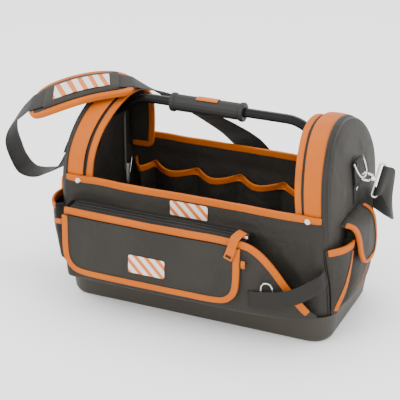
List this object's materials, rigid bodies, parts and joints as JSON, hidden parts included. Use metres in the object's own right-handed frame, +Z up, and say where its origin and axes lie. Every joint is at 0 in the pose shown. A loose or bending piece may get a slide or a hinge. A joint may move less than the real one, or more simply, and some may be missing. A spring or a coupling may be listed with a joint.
{
  "type": "tool bag",
  "caption": "Open-topped cloth tool bag with a hard moulded base, a tubular handle with a grip and a shoulder strap.",
  "frame": {"origin": "centre of the base's underside", "axes": "+Z up, +X to the bag's right as seen from its front, +Y to its back"},
  "size_m": [0.669, 0.3287, 0.3706],
  "materials": {
    "cloth": "woven polyester, matte",
    "orange": "webbing and bound edge, matte",
    "moulded": "fine grain",
    "steel": "satin",
    "grip": "matte",
    "nickel": "plated, satin",
    "patch": "printed, matte"
  },
  "bodies": {
    "bag": {"base_tray": "moulded", "front_panel": "cloth", "front_top_binding": "orange", "back_panel": "cloth", "back_top_binding": "orange", "inner_pocket_row": "cloth", "inner_pocket_binding": "orange", "front_pocket": "cloth", "front_pocket_binding": "orange", "zip_tape": "cloth", "zip_slider": "nickel", "zip_pull": "orange", "front_flap": "cloth", "flap_binding": "orange", "side_sling": "cloth", "tape_ring": "nickel", "label_front": "patch", "label_flap": "patch", "snap_right": "nickel", "snap_left": "nickel", "handle_tube": "steel", "handle_grip": "grip", "grip_inlay": "orange", "end_shell_right": "cloth", "flange_right": "cloth", "flange_binding_right": "orange", "band_right": "orange", "tool_pocket_right": "cloth", "tool_binding_right": "orange", "tool_seam_right": "orange", "flap_pocket_right": "cloth", "pocket_flap_right": "cloth", "pocket_flap_binding_right": "orange", "ring_tab_right": "cloth", "d_ring_right": "nickel", "hook_right": "nickel", "strap_ring_right": "nickel", "end_shell_left": "cloth", "flange_left": "cloth", "flange_binding_left": "orange", "band_left": "orange", "tool_pocket_left": "cloth", "tool_binding_left": "orange", "tool_seam_left": "orange", "flap_pocket_left": "cloth", "pocket_flap_left": "cloth", "pocket_flap_binding_left": "orange", "ring_tab_left": "cloth", "d_ring_left": "nickel", "hook_left": "nickel", "strap_ring_left": "nickel", "shoulder_pad": "cloth", "pad_binding": "orange", "pad_sleeve": "cloth", "label_pad": "patch", "shoulder_strap": "cloth"},
    "gate_right": {"hook_gate_right": "nickel"},
    "gate_left": {"hook_gate_left": "nickel"}
  },
  "joints": [
    {"name": "gate_right_hinge", "type": "hinge", "parent": "bag", "child": "gate_right", "pos_m": [0.26181, 0.00518, 0.25955], "axis": [0.4625, -0.8659, -0.1908], "range_deg": [0, 22], "stiffness_Nm_per_rad": 0.02, "springref_deg": -2.86},
    {"name": "gate_left_hinge", "type": "hinge", "parent": "bag", "child": "gate_left", "pos_m": [-0.26416, -0.00071, 0.2548], "axis": [-0.0471, 0.9982, -0.0374], "range_deg": [0, 22], "stiffness_Nm_per_rad": 0.02, "springref_deg": -2.86}
  ]
}
